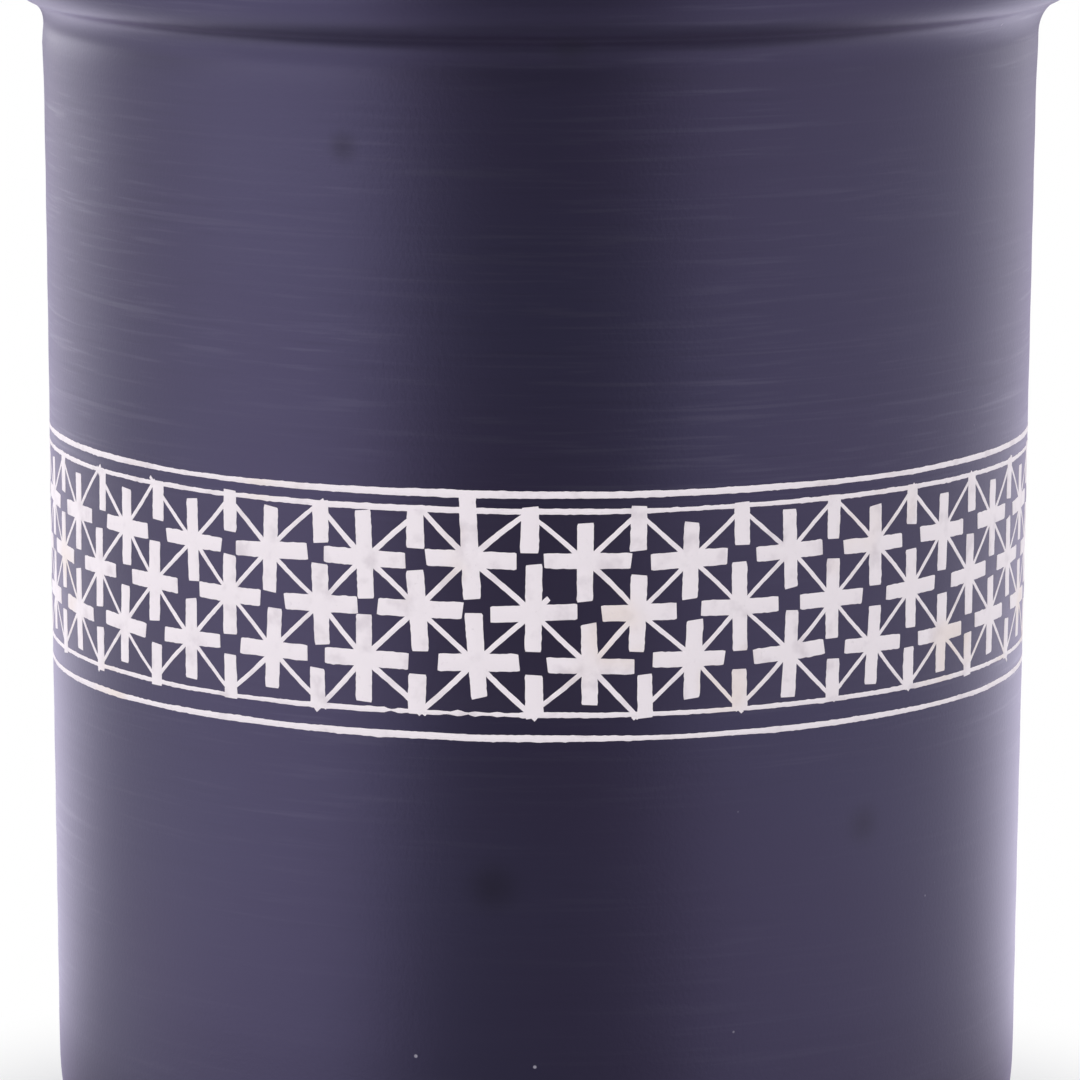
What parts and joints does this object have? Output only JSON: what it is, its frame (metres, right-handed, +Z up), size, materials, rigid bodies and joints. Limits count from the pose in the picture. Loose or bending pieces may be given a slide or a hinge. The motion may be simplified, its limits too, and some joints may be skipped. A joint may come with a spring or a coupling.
{
  "type": "clay pot",
  "caption": "Straight-sided black clay pot with a rolled lip, a rounded heel and a band of inlaid stars between ring lines.",
  "frame": {"origin": "middle of the standing ring, on the surface the pot stands on", "axes": "+Z up along the pot's axis, out of its mouth; -Y towards the viewer, through a star of the band's middle row"},
  "size_m": [0.1084, 0.1084, 0.13],
  "materials": {
    "black_clay": "burnished satin, smoke-blackened",
    "silver_white_paste": "matt paste rubbed into cut grooves"
  },
  "bodies": {
    "root": {"clay_pot": "black_clay", "upper_outer_line": "silver_white_paste", "upper_inner_line": "silver_white_paste", "lower_inner_line": "silver_white_paste", "lower_outer_line": "silver_white_paste", "upper_border_bars": "silver_white_paste", "upper_row_crosses": "silver_white_paste", "middle_row_crosses": "silver_white_paste", "lower_row_crosses": "silver_white_paste", "lower_border_bars": "silver_white_paste", "hairlines_upper_border": "silver_white_paste", "hairlines_upper_to_middle": "silver_white_paste", "hairlines_middle_to_lower": "silver_white_paste", "hairlines_lower_border": "silver_white_paste"}
  },
  "joints": []
}
